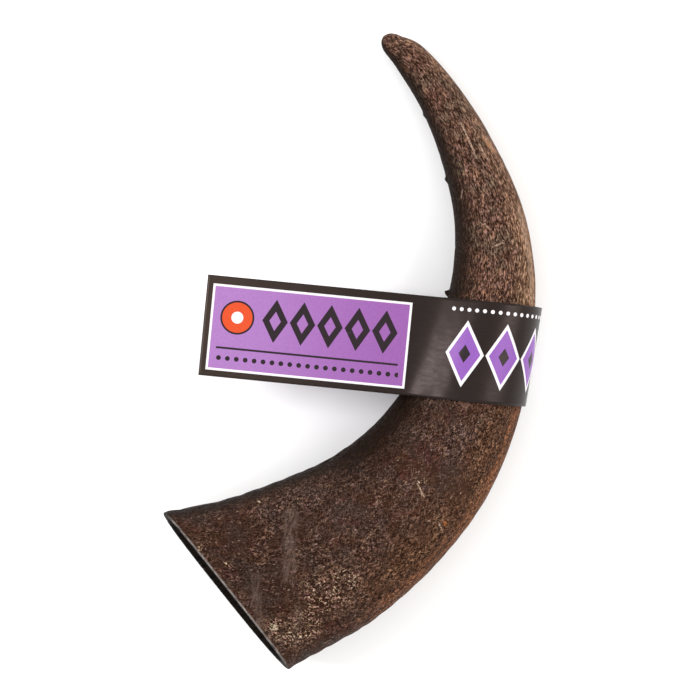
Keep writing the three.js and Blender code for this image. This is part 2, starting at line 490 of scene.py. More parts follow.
# %% Helper for node trees
class Recipe:
    """One material, with short names for the nodes that it is made of."""

    def __init__(self, name, roughness=0.5, shine=0.5):
        self.material = bpy.data.materials.new(name)
        self.material.use_nodes = True
        self.tree = self.material.node_tree
        self.shader = self.tree.nodes["Principled BSDF"]
        self.shader.inputs["Roughness"].default_value = roughness
        self.shader.inputs["Specular IOR Level"].default_value = shine

    def node(self, kind, values, output=0, **settings):
        """Adds a node. values maps each input to a number, a colour or another node's output."""
        made = self.tree.nodes.new("ShaderNode" + kind)
        for key, value in settings.items():
            setattr(made, key, value)
        for key, value in values.items():
            if isinstance(value, bpy.types.NodeSocket):
                self.tree.links.new(value, made.inputs[key])
            else:
                made.inputs[key].default_value = value
        return made.outputs[output]

    def attribute(self, name, output="Fac"):
        return self.node("Attribute", {}, output, attribute_name=name)

    def split(self, vector):
        made = self.node("SeparateXYZ", {0: vector}).node
        return made.outputs[0], made.outputs[1], made.outputs[2]

    def stretched(self, vector, x, y, z):
        return self.node("VectorMath", {0: vector, 1: (x, y, z)}, operation="MULTIPLY")

    def sum(self, kind, a, b=0.0, c=0.0):
        return self.node("Math", {0: a, 1: b, 2: c}, operation=kind)

    def product(self, first, *others):
        for other in others:
            first = self.sum("MULTIPLY", first, other)
        return first

    def noise(self, vector, scale=1.0, detail=3.0, rough=0.6, distort=0.0):
        values = {"Vector": vector, "Scale": scale, "Detail": detail}
        values.update({"Roughness": rough, "Distortion": distort})
        return self.node("TexNoise", values)

    def turned(self, vector, degrees):
        """Turns the straightened place about the upward direction."""
        values = {"Vector": vector, "Axis": (0, 1, 0), "Angle": math.radians(degrees)}
        return self.node("VectorRotate", values, rotation_type="AXIS_ANGLE")

    def ramp(self, value, low, high, start=0.0, end=1.0):
        """Rises smoothly from start to end as the value goes from low to high."""
        values = {0: value, 1: low, 2: high, 3: start, 4: end}
        return self.node("MapRange", values, interpolation_type="SMOOTHSTEP")

    def mix(self, share, first, second, blend="MIX"):
        return self.node("Mix", {0: share, 6: first, 7: second}, 2, data_type="RGBA", blend_type=blend)

    def blend(self, share, first, second):
        """The same as mix, for plain numbers."""
        return self.node("Mix", {0: share, 2: first, 3: second}, 0)

    def wear(self, height, depth_mm, strength=1.0):
        """Raises and sinks the surface in the light, without moving it."""
        values = {"Height": height, "Distance": depth_mm * MM, "Strength": strength}
        self.tree.links.new(self.node("Bump", values), self.shader.inputs["Normal"])

    def finish(self, colour, roughness=None):
        self.tree.links.new(colour, self.shader.inputs["Base Color"])
        if roughness is not None:
            self.tree.links.new(roughness, self.shader.inputs["Roughness"])
        print("finish", self.material.name, len(self.tree.nodes), "nodes")
        return self.material


def colour(red, green, blue):
    return red, green, blue, 1.0


# %% [markdown]
# ## What the finish of the skin reads
# No part of the horn has a flat colour, so the finish is built up in layers over the next
# steps. Each layer reads the same few things: the place in the straightened horn, the side of
# the curl, and how near the point is to a scab or a smooth spot. A mark with a place of its
# own, such as a scratch, is a line between two points given by length and angle.


# %% Readings and lines on the skin
class SkinReadings:
    """What the finish reads at a point of the skin."""

    def __init__(self, r):
        self.grain = r.attribute("grain", "Vector")
        self.side = r.attribute("bend_side")
        self.scab = r.attribute("scab")
        self.calm = r.attribute("calm")
        self.length = r.split(self.grain)[2]
        self.fibrous = r.ramp(self.length, 125, 190)


def line_mask(r, grain, ends):
    """1 along a line between two places on the skin."""
    length_a, turn_a, length_b, turn_b, width = ends
    start = spot(length_a, turn_a)[1]
    run = spot(length_b, turn_b)[1] - start
    from_start = r.node("VectorMath", {0: grain, 1: tuple(start)}, operation="SUBTRACT")
    share = r.node("VectorMath", {0: from_start, 1: tuple(run / run.dot(run))}, 1, operation="DOT_PRODUCT")
    share = r.node("Clamp", {0: share, 1: 0.0, 2: 1.0})
    along = r.node("VectorMath", {0: tuple(run), "Scale": share}, operation="SCALE")
    away = r.node("VectorMath", {0: from_start, 1: along}, operation="SUBTRACT")
    gap = r.node("VectorMath", {0: away}, 1, operation="LENGTH")
    return r.ramp(gap, width * 0.5, width * 1.6, 1.0, 0.0)


skin = Recipe("horn_skin", 0.5, 0.04)
skin.shader.inputs["Specular Tint"].default_value = colour(1.0, 0.66, 0.50)
at = SkinReadings(skin)
print("the skin reads", ", ".join(vars(at)))

# %% [markdown]
# ## The grain
# At the tip the keratin is worn down to pale dashes that run lengthwise. Towards the base they
# get shorter and lie in all directions, between smoother grey patches. The tone made here is 0
# in the dark gaps and 1 on the pale ridges. The next step turns it into colours.


# %% Grain of the skin
def skin_tone(r, at):
    """The tone, the ridges that it is made of, and the broad waves behind them."""
    long_grain = r.noise(r.stretched(at.grain, 1.6, 1.6, 0.46), 1, 4, 0.70, 0.35)
    cross_grain = r.noise(r.stretched(at.grain, 1.0, 1.0, 0.72), 1, 4, 0.72, 1.2)
    fine = r.ramp(r.blend(at.fibrous, cross_grain, long_grain), 0.415, 0.64)
    waves = r.noise(r.stretched(at.grain, 0.30, 0.30, 0.10), 1, 3, 0.6, 0.5)
    broad = r.ramp(waves, 0.36, 0.60, r.ramp(at.fibrous, 0, 1, 0.62, 0.78), 1.0)
    ridges = r.product(fine, broad)
    calm = r.ramp(r.noise(at.grain, 0.055, 2, 0.5, 0.5), 0.50, 0.66)
    calm = r.product(calm, r.ramp(at.length, 170, 60, 0.0, 0.7))
    near_calm = r.sum("ADD", at.calm, r.product(waves, 0.5))
    calm = r.sum("MAXIMUM", calm, r.ramp(near_calm, 0.5, 1.0))
    tone = r.blend(r.product(calm, 0.55), ridges, 0.21)
    return r.product(tone, r.ramp(at.length, 10, 60, 0.86, 1.0)), ridges, waves


tone, ridges, waves = skin_tone(skin, at)
print("grain", len(skin.tree.nodes), "nodes")

# %% [markdown]
# ## The colours
# Buffalo keratin is dark brown. The tone runs from almost black, through brown, to a pale tan,
# and each of them shifts from place to place: cooler, redder, pinker, or olive near the tip.
# The convex side is painted lighter and warmer, which is painted light: a warmer tan beyond the label, and
# red-brown before it.

# %% Colours of the skin
DARK_BASE, DARK_TIP = colour(0.012, 0.005, 0.0028), colour(0.013, 0.0050, 0.0026)
BROWN, COOL_BROWN = colour(0.068, 0.031, 0.019), colour(0.060, 0.039, 0.033)
RED_BROWN, TIP_BROWN = colour(0.080, 0.024, 0.020), colour(0.115, 0.060, 0.040)
TAN_BASE, PINK_BASE = colour(0.25, 0.142, 0.094), colour(0.232, 0.142, 0.122)
TAN_TIP, PINK_TIP = colour(0.375, 0.196, 0.125), colour(0.340, 0.188, 0.155)
OLIVE_TIP, RED_TIP = colour(0.225, 0.175, 0.115), colour(0.25, 0.105, 0.078)
# Painted light on the convex side, beyond the label and then before it.
PAINTED_LIGHT_DARK, PAINTED_LIGHT_BROWN = colour(0.055, 0.025, 0.013), colour(0.19, 0.095, 0.052)
PAINTED_LIGHT_TAN = colour(0.66, 0.40, 0.245)
PAINTED_LIGHT_BASE_BROWN, PAINTED_LIGHT_BASE_PALE = colour(0.082, 0.034, 0.017), colour(0.32, 0.165, 0.088)


def skin_colours(r, at, waves):
    """The dark, the brown and the pale colour at a point."""
    cool = r.noise(at.grain, 0.075, 3, 0.6, 0.5)
    red = r.ramp(r.noise(at.grain, 0.11, 4, 0.75, 0.4), 0.50, 0.70)
    pink = r.ramp(r.noise(at.grain, 0.4, 2), 0.4, 0.6)
    brown = r.mix(r.ramp(cool, 0.35, 0.68), BROWN, COOL_BROWN)
    brown = r.mix(r.product(red, 0.75), brown, RED_BROWN)
    brown = r.mix(r.product(at.fibrous, 0.45), brown, TIP_BROWN)
    pale_tip = r.mix(pink, TAN_TIP, PINK_TIP)
    pale_tip = r.mix(r.ramp(cool, 0.48, 0.60, 0.0, 0.75), pale_tip, OLIVE_TIP)
    pale_tip = r.mix(r.product(red, 0.55), pale_tip, RED_TIP)
    pale = r.mix(at.fibrous, r.mix(pink, TAN_BASE, PINK_BASE), pale_tip)
    dark = r.mix(at.fibrous, DARK_BASE, DARK_TIP)
    # Painted light: beyond the label the convex side is painted a warmer tan, less so near the tip.
    painted_light_tip = r.product(r.ramp(at.side, 0.15, 0.9), at.fibrous, r.ramp(waves, 0.35, 0.6, 0.45, 1.0))
    painted_light_tip = r.product(painted_light_tip, r.ramp(at.length, 205, 270, 1.0, 0.45))
    brown = r.mix(painted_light_tip, brown, PAINTED_LIGHT_BROWN)
    pale = r.mix(r.product(painted_light_tip, 0.8), pale, PAINTED_LIGHT_TAN)
    dark = r.mix(r.product(painted_light_tip, 0.8), dark, PAINTED_LIGHT_DARK)
    # Painted light: before the label the convex side is painted paler and redder.
    painted_light_base = r.product(r.ramp(at.side, 0.1, 0.7), r.ramp(at.length, 25, 80), r.ramp(at.length, 190, 125))
    brown = r.mix(r.product(painted_light_base, 0.8), brown, PAINTED_LIGHT_BASE_BROWN)
    pale = r.mix(r.product(painted_light_base, 0.8), pale, PAINTED_LIGHT_BASE_PALE)
    return dark, brown, pale


dark, brown, pale = skin_colours(skin, at, waves)
surface = skin.mix(skin.ramp(tone, 0.0, 0.40), dark, brown)
surface = skin.mix(skin.ramp(tone, 0.42, 1.0), surface, pale)
print("colours", len(skin.tree.nodes), "nodes")

# %% [markdown]
# ## Hairs and specks
# The dry surface splits into fibres as fine as hair, which cross the grain both ways. Single
# broken ones catch the light as bright specks. Both are noise: the hairs are stretched along a
# turned direction, and the specks are its few highest bumps.

# %% Hairs and specks
HAIR_ANGLES = (38, -44)
SPECK = colour(0.44, 0.31, 0.24)
BRIGHT_SPECK = colour(0.58, 0.43, 0.34)


def hairs(r, grain, degrees):
    """Thin pale lines that run at an angle to the grain."""
    lines = r.noise(r.stretched(r.turned(grain, degrees), 1.7, 1.7, 0.26), 1, 2, 0.5, 0.5)
    return r.ramp(lines, 0.59, 0.70)


def add_hairs_and_specks(r, at, surface, pale):
    for degrees in HAIR_ANGLES:
        shown = r.product(hairs(r, at.grain, degrees), r.ramp(at.length, 30, 90, 0.12, 0.4))
        surface = r.mix(shown, surface, pale)
    specks = r.noise(r.stretched(at.grain, 1.5, 1.5, 0.8), 1, 1, 0.5)
    surface = r.mix(r.ramp(specks, 0.68, 0.78, 0.0, 0.6), surface, SPECK)
    rare = r.noise(r.stretched(at.grain, 1.0, 1.0, 0.7), 1, 2, 0.5)
    return r.mix(r.ramp(rare, 0.73, 0.81, 0.0, 0.8), surface, BRIGHT_SPECK)


surface = add_hairs_and_specks(skin, at, surface, pale)
print("hairs and specks", len(skin.tree.nodes), "nodes")

# %% [markdown]
# ## Rubbed places, painted highlights and thin places
# Handling leaves grey streaks across the base, and pale painted highlights lie on the convex side. In a few
# spots the skin has flaked so thin that light comes through it, amber. These marks are lines with soft
# edges, and noise breaks each of them up, so that none looks drawn.

# %% Rubbed places, painted highlights and thin places
RUBS = [  # length and angle at each end, width
    (43, 124, 27, 88, 2.6),
    (14, 92, 1, 70, 1.6),
    (22, 70, 10, 44, 1.8),
]
RUB_ANGLE = 50  # from the length, in degrees
# Painted highlights on the convex side, where smooth skin catches the light.
PAINTED_HIGHLIGHTS = [
    (256, 42, 250, 37, 1.6),
    (222, 34, 186, 27, 2.2),
]
THIN = [
    (256, 46, 250, 38, 1.1),
    (304, 139, 301, 135, 0.7),
    (93, 51, 92.8, 48, 0.75),
]
RUBBED_GREY = colour(0.165, 0.115, 0.092)
HIGHLIGHT_TAN = colour(0.56, 0.37, 0.25)
AMBER = colour(0.46, 0.16, 0.05)


def add_wear_and_highlights(r, at, surface, tone):
    streaks = r.noise(r.stretched(r.turned(at.grain, RUB_ANGLE), 1.1, 1.1, 0.15), 1, 3)
    streaks = r.ramp(streaks, 0.38, 0.62, 0.05, 0.5)
    shine = r.ramp(tone, 0.0, 0.8, 0.2, 0.8)
    flecks = r.ramp(r.noise(at.grain, 1.4, 3, 0.7, 0.5), 0.45, 0.57, 0.0, 0.7)
    kinds = ((RUBS, streaks, RUBBED_GREY), (PAINTED_HIGHLIGHTS, shine, HIGHLIGHT_TAN), (THIN, flecks, AMBER))
    for places, broken, tint in kinds:
        for ends in places:
            surface = r.mix(r.product(line_mask(r, at.grain, ends), broken), surface, tint)
    return surface


surface = add_wear_and_highlights(skin, at, surface, tone)
print(len(RUBS), "rubs,", len(PAINTED_HIGHLIGHTS), "painted highlights,", len(THIN), "thin ones")

# %% [markdown]
# ## The two sides of the curl
# The convex side gets a thin red-brown line just inside its edge, which is painted rim light. The concave
# side gets painted shade and is almost black. Both follow the side of the curl, which is 1 on the convex
# edge and -1 on the concave one.

# %% Sides of the curl
# Painted rim light for the convex edge, and painted shade for the concave side.
RIM_LIGHT_DARK, RIM_LIGHT_RED = colour(0.040, 0.014, 0.007), colour(0.46, 0.185, 0.085)
PAINTED_SHADE_BLACK = colour(0.007, 0.0035, 0.002)


def add_sides(r, at, surface, tone, waves):
    # Painted rim light: a thin red-brown line inside the convex edge, strongest on the base half.
    painted_rim_light = r.product(r.ramp(at.side, 0.76, 0.88), r.ramp(at.side, 0.998, 0.96), r.ramp(at.length, 20, 80))
    painted_rim_light = r.product(painted_rim_light, r.ramp(at.fibrous, 0, 1, 1.0, 0.2), r.ramp(waves, 0.38, 0.56, 0.2, 0.85))
    surface = r.mix(painted_rim_light, surface, r.mix(tone, RIM_LIGHT_DARK, RIM_LIGHT_RED))
    # Painted shade: the concave side is painted almost black, only at its very edge near the sawn end and
    # across more of it further on.
    shade = r.blend(r.ramp(at.length, 45, 95), r.ramp(at.side, -0.82, -1.0), r.ramp(at.side, -0.25, -0.92))
    return r.mix(r.product(shade, r.ramp(at.fibrous, 0, 1, 0.93, 0.94)), surface, PAINTED_SHADE_BLACK)


surface = add_sides(skin, at, surface, tone, waves)
print("sides", len(skin.tree.nodes), "nodes")

# %% [markdown]
# ## Crumbs of the scabs
# A scab is a crust of cream, tan and pink crumbs with dark gaps between them. The mesh already
# stands up there. Here the crumbs get their colours: the higher the noise, the paler the crumb,
# and the thickest scabs have a heart of bleached flake.

# %% Crumbs of the scabs
CRUMB_PINK, CRUMB_TAN = colour(0.38, 0.17, 0.125), colour(0.46, 0.30, 0.16)
FLAKE_TAN, FLAKE_CREAM = colour(0.42, 0.27, 0.21), colour(0.88, 0.73, 0.56)
HEART = colour(0.66, 0.52, 0.36)


def add_scabs(r, at, surface, dark):
    """The surface with its scabs, and the share of crumb at a point."""
    crumbs = r.noise(at.grain, 1.05, 3, 0.7, 0.6)
    clumps = r.ramp(r.noise(at.grain, 0.22, 3, 0.65), 0.42, 0.58, 0.12, 1.0)
    near = r.ramp(at.scab, 0.1, 0.9)
    surface = r.mix(r.product(r.ramp(crumbs, 0.50, 0.42), near, 0.8), surface, dark)
    crumb = r.product(r.ramp(crumbs, 0.50, 0.60), near, clumps)
    tint = r.ramp(r.noise(at.grain, 0.5, 2), 0.42, 0.58)
    surface = r.mix(crumb, surface, r.mix(tint, CRUMB_PINK, CRUMB_TAN))
    bright = r.product(r.ramp(crumbs, 0.57, 0.64), r.ramp(at.scab, 0.3, 0.9), clumps)
    bleached = r.ramp(r.noise(at.grain, 0.9, 3, 0.6), 0.42, 0.58)
    surface = r.mix(bright, surface, r.mix(bleached, FLAKE_TAN, FLAKE_CREAM))
    heart = r.product(r.ramp(at.scab, 1.25, 1.45), r.ramp(crumbs, 0.44, 0.54))
    return r.mix(heart, surface, HEART), crumb


surface, crumb = add_scabs(skin, at, surface, dark)
print("scabs", len(skin.tree.nodes), "nodes")

# %% [markdown]
# ## Scratches and the edge of the cut
# A few pale scratches lie over everything, and so do two long flakes on the bend. Last comes a pale grey
# line along the outer corner of the saw cut, a painted highlight where the cut catches the light. The
# ridges and crumbs also become bump, so that the light finds each one, and the roughness varies a little.

# %% Finish of the skin
SCRATCHES = [  # length and angle at each end, width
    (266, 82, 249, 84, 0.42),
    (237, 131, 233.5, 139, 0.3),
    (210, 79, 208.4, 96, 0.36),
    (219.5, 104, 217, 98, 0.3),
    (254, 66, 247, 64, 0.4),
    (97.9, 90, 95.6, 81, 0.3),
    (91.4, 55, 90.3, 48, 0.34),
]
SCRATCH_CREAM = colour(0.52, 0.36, 0.26)
CUT_EDGE_HIGHLIGHT = colour(0.28, 0.245, 0.225)


def add_scratches(r, at, surface):
    chips = r.ramp(r.noise(at.grain, 2.2, 2, 0.6, 0.5), 0.43, 0.57, 0.0, 0.9)
    for ends in SCRATCHES:
        surface = r.mix(r.product(line_mask(r, at.grain, ends), chips), surface, SCRATCH_CREAM)
    return surface


def add_cut_edge(r, at, surface):
    # Painted highlight: a pale grey line along the outer corner of the cut, broken up by noise.
    highlight_line = r.product(r.ramp(at.length, 1.2, 0.5), r.ramp(at.side, -0.99, -0.8), r.ramp(at.side, 0.99, 0.8))
    wear_and_highlight = r.ramp(r.noise(at.grain, 0.35, 3, 0.6), 0.36, 0.58, 0.45, 0.95)
    return r.mix(r.product(highlight_line, wear_and_highlight), surface, CUT_EDGE_HIGHLIGHT)


surface = add_cut_edge(skin, at, add_scratches(skin, at, surface))
skin.wear(skin.sum("ADD", ridges, skin.product(crumb, 0.8)), 0.4, 0.9)
skin_rough = skin.ramp(skin.noise(at.grain, 0.8, 3), 0.35, 0.65, 0.42, 0.66)
skin_material = skin.finish(surface, skin_rough)

# %% [markdown]
# ## The sawn rim and the hollow
# A saw leaves keratin dark and faintly scored, with the layers of growth showing as thin rings side by
# side. Inside, the bone has been boiled out. What is left is a dull brown wall with lengthwise flutes. Its
# colours are kept near black, partly as painted shade, and painted shade darkens it further the deeper it
# goes.

# %% Finishes of the rim and the hollow
SAWN_BLACK = colour(0.002, 0.0015, 0.001)
SAWN_BROWN, SAWN_GREY = colour(0.007, 0.005, 0.004), colour(0.09, 0.07, 0.055)
# The hollow's near-black colours are partly painted shade.
HOLLOW_BLACK, HOLLOW_PAINTED_SHADE = colour(0.002, 0.0015, 0.001), colour(0.003, 0.002, 0.002)
HOLLOW_BROWN, HOLLOW_DUST = colour(0.009, 0.006, 0.004), colour(0.09, 0.065, 0.045)


def rim_finish():
    r = Recipe("sawn_rim", 0.6, 0.05)
    grain = r.attribute("grain", "Vector")
    layers = r.noise(grain, 0.9, 4, 0.7, 0.8)
    face = r.mix(r.ramp(layers, 0.35, 0.7), SAWN_BLACK, SAWN_BROWN)
    streaks = r.noise(r.stretched(grain, 2.6, 0.35, 1), 1, 2)
    face = r.mix(r.ramp(streaks, 0.62, 0.75, 0.0, 0.12), face, SAWN_GREY)
    r.wear(layers, 0.3, 0.8)
    return r.finish(face, r.ramp(layers, 0.3, 0.7, 0.5, 0.75))


def hollow_finish():
    r = Recipe("horn_hollow", 0.7, 0.04)
    grain = r.attribute("grain", "Vector")
    length = r.split(grain)[2]
    flutes = r.noise(r.stretched(grain, 0.5, 0.5, 0.05), 1, 4, 0.6)
    wall = r.mix(r.ramp(flutes, 0.35, 0.65), HOLLOW_BLACK, HOLLOW_BROWN)
    # Painted shade: the wall darkens the deeper it goes.
    wall = r.mix(r.ramp(length, 0, 70, 0.1, 0.8), wall, HOLLOW_PAINTED_SHADE)
    dust = r.noise(grain, 1.2, 4, 0.7)
    wall = r.mix(r.ramp(dust, 0.62, 0.75, 0.0, 0.15), wall, HOLLOW_DUST)
    r.wear(r.sum("ADD", flutes, r.product(dust, 0.3)), 0.6, 0.8)
    return r.finish(wall, r.ramp(dust, 0.3, 0.7, 0.6, 0.85))


horn = finish_mesh("horn_skin_and_hollow", horn_mesh, [skin_material, rim_finish(), hollow_finish()])
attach(horn, "root")
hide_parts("horn")

# %% [markdown]
# ## The route of the card
# The label is one strip of card. It starts as a flag, goes over the horn, round the convex side
# and back underneath, and its end is glued to the back of the flag. Seen along the horn's axis,
# the route is a straight flag, a soft bend, a line that just touches an ellipse, the ellipse
# itself, and the way back. The horn tapers, so the ellipse at the near edge of the strip is
# larger than at the far edge, and the routes in between are blended.

# %% Route of the card
CARD = 0.4
GLUE = 0.05
STRIP_WIDTH = 44
STRIP_TURN = math.radians(-5.6)
FLAG_END = (-63.9, 11.02)  # middle of the flag's free end, in plan
FLAG_HEIGHT = 38
BEND_RADIUS = 6
NEAR_EDGE = {"centre": 115.9, "radius": 28.5, "middle": 23.5, "rise": 23.1, "front": 92, "back": 79}
FAR_EDGE = {"centre": 124.6, "radius": 22.9, "middle": 23, "rise": 21.3, "front": 98, "back": 80}


def tangent_angles(e, along, height):
    """Angles at which lines from a point outside touch the ellipse: upper, then lower."""
    x = (along - e["centre"]) / e["radius"]
    y = (height - e["middle"]) / e["rise"]
    towards = math.atan2(y, x)
    spread = math.acos(1 / math.hypot(x, y))
    return towards - spread, towards + spread


def on_ellipse(e, angle):
    angle = np.asarray(angle)
    x = e["centre"] + e["radius"] * np.cos(angle)
    return np.stack([x, e["middle"] + e["rise"] * np.sin(angle)], axis=-1)


def bend(start, corner, end):
    """A quadratic curve that rounds a corner."""
    t = np.linspace(0, 1, 24)[:, None]
    return (1 - t) ** 2 * start + 2 * t * (1 - t) * corner + t**2 * end


def strip_route(across_share):
    """Points of the card's middle layer, as distance along the strip and height."""
    e = {key: NEAR_EDGE[key] + (FAR_EDGE[key] - NEAR_EDGE[key]) * across_share for key in NEAR_EDGE}
    top = FLAG_HEIGHT + (CARD + GLUE) / 2
    low = FLAG_HEIGHT - (CARD + GLUE) / 2
    leaves = tangent_angles(e, e["front"], top)[0]
    returns = tangent_angles(e, e["back"], low)[1]
    front = np.array([e["front"], top])
    back = np.array([e["back"], low])
    touch, lift = on_ellipse(e, leaves), on_ellipse(e, returns)
    front_out = front + (touch - front) / np.linalg.norm(touch - front) * BEND_RADIUS
    back_in = back + (lift - back) / np.linalg.norm(lift - back) * BEND_RADIUS
    turn = (returns - leaves) % (2 * math.pi) - 2 * math.pi
    arc = on_ellipse(e, leaves + np.linspace(0, turn, 400))
    shift = np.array([BEND_RADIUS, 0])
    return np.vstack([
        [[0, top]], bend(front - shift, front, front_out), arc,
        bend(back_in, back, back - shift), [[0, low]],
    ])


ROUTE_LENGTH = np.linalg.norm(np.diff(strip_route(0.5), axis=0), axis=1).sum()
print("strip", round(ROUTE_LENGTH), "mm long")

# %% [markdown]
# ## The card
# A flat slab is easy: a grid, extruded by the thickness of the card. Its vertices are then laid
# along the route, so the slab bends the way a real strip does. Where each vertex was on the
# flat strip is kept as an attribute, because the print was put on while the strip was flat.
# The two glued layers of the flag warp together, as damp card does.

# %% Build the card
STRIP_STEPS = 320
WIDTH_STEPS = 36
WARP = 0.45  # height of the flag's waves
CARD_INSET = 0.06  # keeps the round card inside the faceted one


def flag_warp(distance, across):
    """How far the flag is out of flat. It fades out before the two bends."""
    wave = noise.noise(Vector((distance / 34, across / 26, 4.2)))
    curl = 0.9 * (distance / 90 - 0.35) ** 2 - 0.1
    return (WARP * wave + curl) * (1 - smooth_step(distance, 50, 76))


def flat_slab():
    """The strip before it is wrapped: x is the share along it, y the place across it."""
    bm = bmesh.new()
    bmesh.ops.create_grid(bm, x_segments=STRIP_STEPS, y_segments=WIDTH_STEPS, size=1)
    grown = bmesh.ops.extrude_face_region(bm, geom=bm.faces[:])["geom"]
    top = [v for v in grown if isinstance(v, bmesh.types.BMVert)]
    bmesh.ops.translate(bm, verts=top, vec=(0, 0, 1))
    bmesh.ops.recalc_face_normals(bm, faces=bm.faces[:])
    for face in bm.faces:
        face.material_index = 0 if face.normal.z > 0.5 else 1
        face.smooth = abs(face.normal.z) > 0.5
    return bm


def wrap_card(bm):
    along = np.array([math.cos(STRIP_TURN), math.sin(STRIP_TURN)])
    across = np.array([-along[1], along[0]])
    strip_layer = bm.verts.layers.float_vector.new("strip")
    routes = {}
    for vertex in bm.verts:
        share, place_across, offset = (vertex.co.x + 1) / 2, vertex.co.y, vertex.co.z - 0.5
        key = round(place_across, 5)
        if key not in routes:
            points = strip_route((place_across + 1) / 2)
            steps = np.linalg.norm(np.diff(points, axis=0), axis=1)
            routes[key] = points, np.concatenate([[0], np.cumsum(steps)])
        points, lengths = routes[key]
        run = share * lengths[-1]
        point = np.array([np.interp(run, lengths, points[:, k]) for k in (0, 1)])
        ahead = np.array([np.interp(run + 0.4, lengths, points[:, k]) for k in (0, 1)])
        behind = np.array([np.interp(run - 0.4, lengths, points[:, k]) for k in (0, 1)])
        heading = (ahead - behind) / np.linalg.norm(ahead - behind)
        width_mm = place_across * STRIP_WIDTH / 2
        out = offset * (CARD - CARD_INSET)
        distance = point[0] - heading[1] * out
        height = point[1] + heading[0] * out + flag_warp(distance, width_mm)
        plan = np.array(FLAG_END) + along * distance + across * width_mm - CENTRE
        vertex[strip_layer] = (run, width_mm, lengths[-1] - run)
        vertex.co = Vector((plan[0], plan[1], height)) * MM
    return bm


card_mesh = wrap_card(flat_slab())

# %% [markdown]
# ## The shapes of the print
# Labels like this are printed on dark card, with a framed panel on the flag and bold shapes on
# the band. The pattern here is a plain one of lozenges, dots, a rule and a disc. Each shape is
# a sum on the flat strip: a lozenge is where the two distances from its middle add up to less
# than its size, and a row is one shape repeated.


# %% Shapes of the print
def within(r, value, low, high):
    """1 where a value is between two others."""
    return r.product(r.sum("GREATER_THAN", value, low), r.sum("LESS_THAN", value, high))


def rectangle(r, u, v, left, right, bottom, top):
    return r.product(within(r, u, left, right), within(r, v, bottom, top))


def gap(r, value, middle):
    """Distance from a middle."""
    return r.sum("ABSOLUTE", r.sum("SUBTRACT", value, middle))


def gap_in_row(r, value, first, pitch):
    """Distance from the nearest of a row of middles that are a pitch apart."""
    moved = r.sum("SUBTRACT", value, first - pitch / 2)
    return gap(r, r.sum("FLOORED_MODULO", moved, pitch), pitch / 2)


def lozenge(r, gap_u, gap_v, half_width, half_height):
    reach = r.sum("ADD", r.sum("DIVIDE", gap_u, half_width), r.sum("DIVIDE", gap_v, half_height))
    return r.sum("LESS_THAN", reach, 1.0)


def disc(r, gap_u, gap_v, radius):
    square = r.sum("ADD", r.product(gap_u, gap_u), r.product(gap_v, gap_v))
    return r.sum("LESS_THAN", square, radius * radius)


def dotted_line(r, u, v, first, pitch, height, radius):
    return disc(r, gap_in_row(r, u, first, pitch), gap(r, v, height), radius)


# %% [markdown]
# ## The panel
# The flag has a violet panel in a white frame, with an orange disc, a row of hollow lozenges, a
# rule and a row of dots. Shapes are laid over one another with the largest first, so each one
# leaves an outline round the next. The back of the flag carries the same panel.

# %% Panel of the flag
INK = colour(0.014, 0.010, 0.013)
WHITE_INK = colour(0.70, 0.67, 0.69)
ORANGE_INK = colour(0.56, 0.062, 0.016)
LILAC, VIOLET = colour(0.315, 0.152, 0.390), colour(0.240, 0.088, 0.300)
PANEL = (2.8, 89.8, -19.2, 18.4)  # left and right from the flag's free end, bottom and top
FRAME_LINE = 1.0
ROW_HEIGHT = 4.5  # of the disc and the lozenges, above the middle of the strip
DISC_PLACE = 14.5
DISC_RADII = (7.4, 6.6, 2.6)
ROW_RUN = (25, 85)
ROW_FIRST, ROW_PITCH = 31, 12
ROW_LOZENGE, ROW_HOLE = (5.6, 9.5), (2.5, 4.2)  # half width and half height
RULE = (6.5, 86, -9.6, -8.7)
PANEL_DOTS = (8, 3.9, -13.6, 1.05)  # first, pitch, height and radius
PANEL_DOTS_RUN = (6, 86.5)


def panel_print(r, u, v, base):
    """The framed panel. u is the distance from the flag's free end."""
    left, right, bottom, top = PANEL
    line = FRAME_LINE
    # Painted sheen over the printed violet: the panel is painted lighter towards the flag's free end.
    field = r.mix(r.ramp(u, left, right), LILAC, VIOLET)
    base = r.mix(rectangle(r, u, v, left, right, bottom, top), base, WHITE_INK)
    base = r.mix(rectangle(r, u, v, left + line, right - line, bottom + line, top - line), base, field)
    row = within(r, u, *ROW_RUN)
    gap_u = gap_in_row(r, u, ROW_FIRST, ROW_PITCH)
    gap_v = gap(r, v, ROW_HEIGHT)
    for size, ink in ((ROW_LOZENGE, INK), (ROW_HOLE, field)):
        base = r.mix(r.product(row, lozenge(r, gap_u, gap_v, *size)), base, ink)
    base = r.mix(rectangle(r, u, v, *RULE), base, INK)
    dots = dotted_line(r, u, v, *PANEL_DOTS)
    base = r.mix(r.product(dots, within(r, u, *PANEL_DOTS_RUN)), base, INK)
    disc_u = gap(r, u, DISC_PLACE)
    for radius, ink in zip(DISC_RADII, (INK, ORANGE_INK, WHITE_INK)):
        base = r.mix(disc(r, disc_u, gap_v, radius), base, ink)
    return base


print("panel", round(PANEL[1] - PANEL[0], 1), "by", round(PANEL[3] - PANEL[2], 1), "mm")

# %% [markdown]
# ## The band
# Round the horn goes a row of lozenges, each outlined in white with a dark heart, under a dotted
# line. The row starts and ends clear of the flag, so its two measures are the distances from
# the two ends of the strip.

# %% Band round the horn
BAND_VIOLET = colour(0.22, 0.085, 0.36)
BAND_FROM, BAND_TO = 106, 112  # from the two ends of the strip
BAND_FIRST, BAND_PITCH = 115, 17.5
BAND_HEIGHT = -1.5
BAND_LOZENGES = ((8.4, 14.5), (6.9, 12), (2.6, 4))
BAND_DOTS = (115, 3.4, 17.6, 0.85)


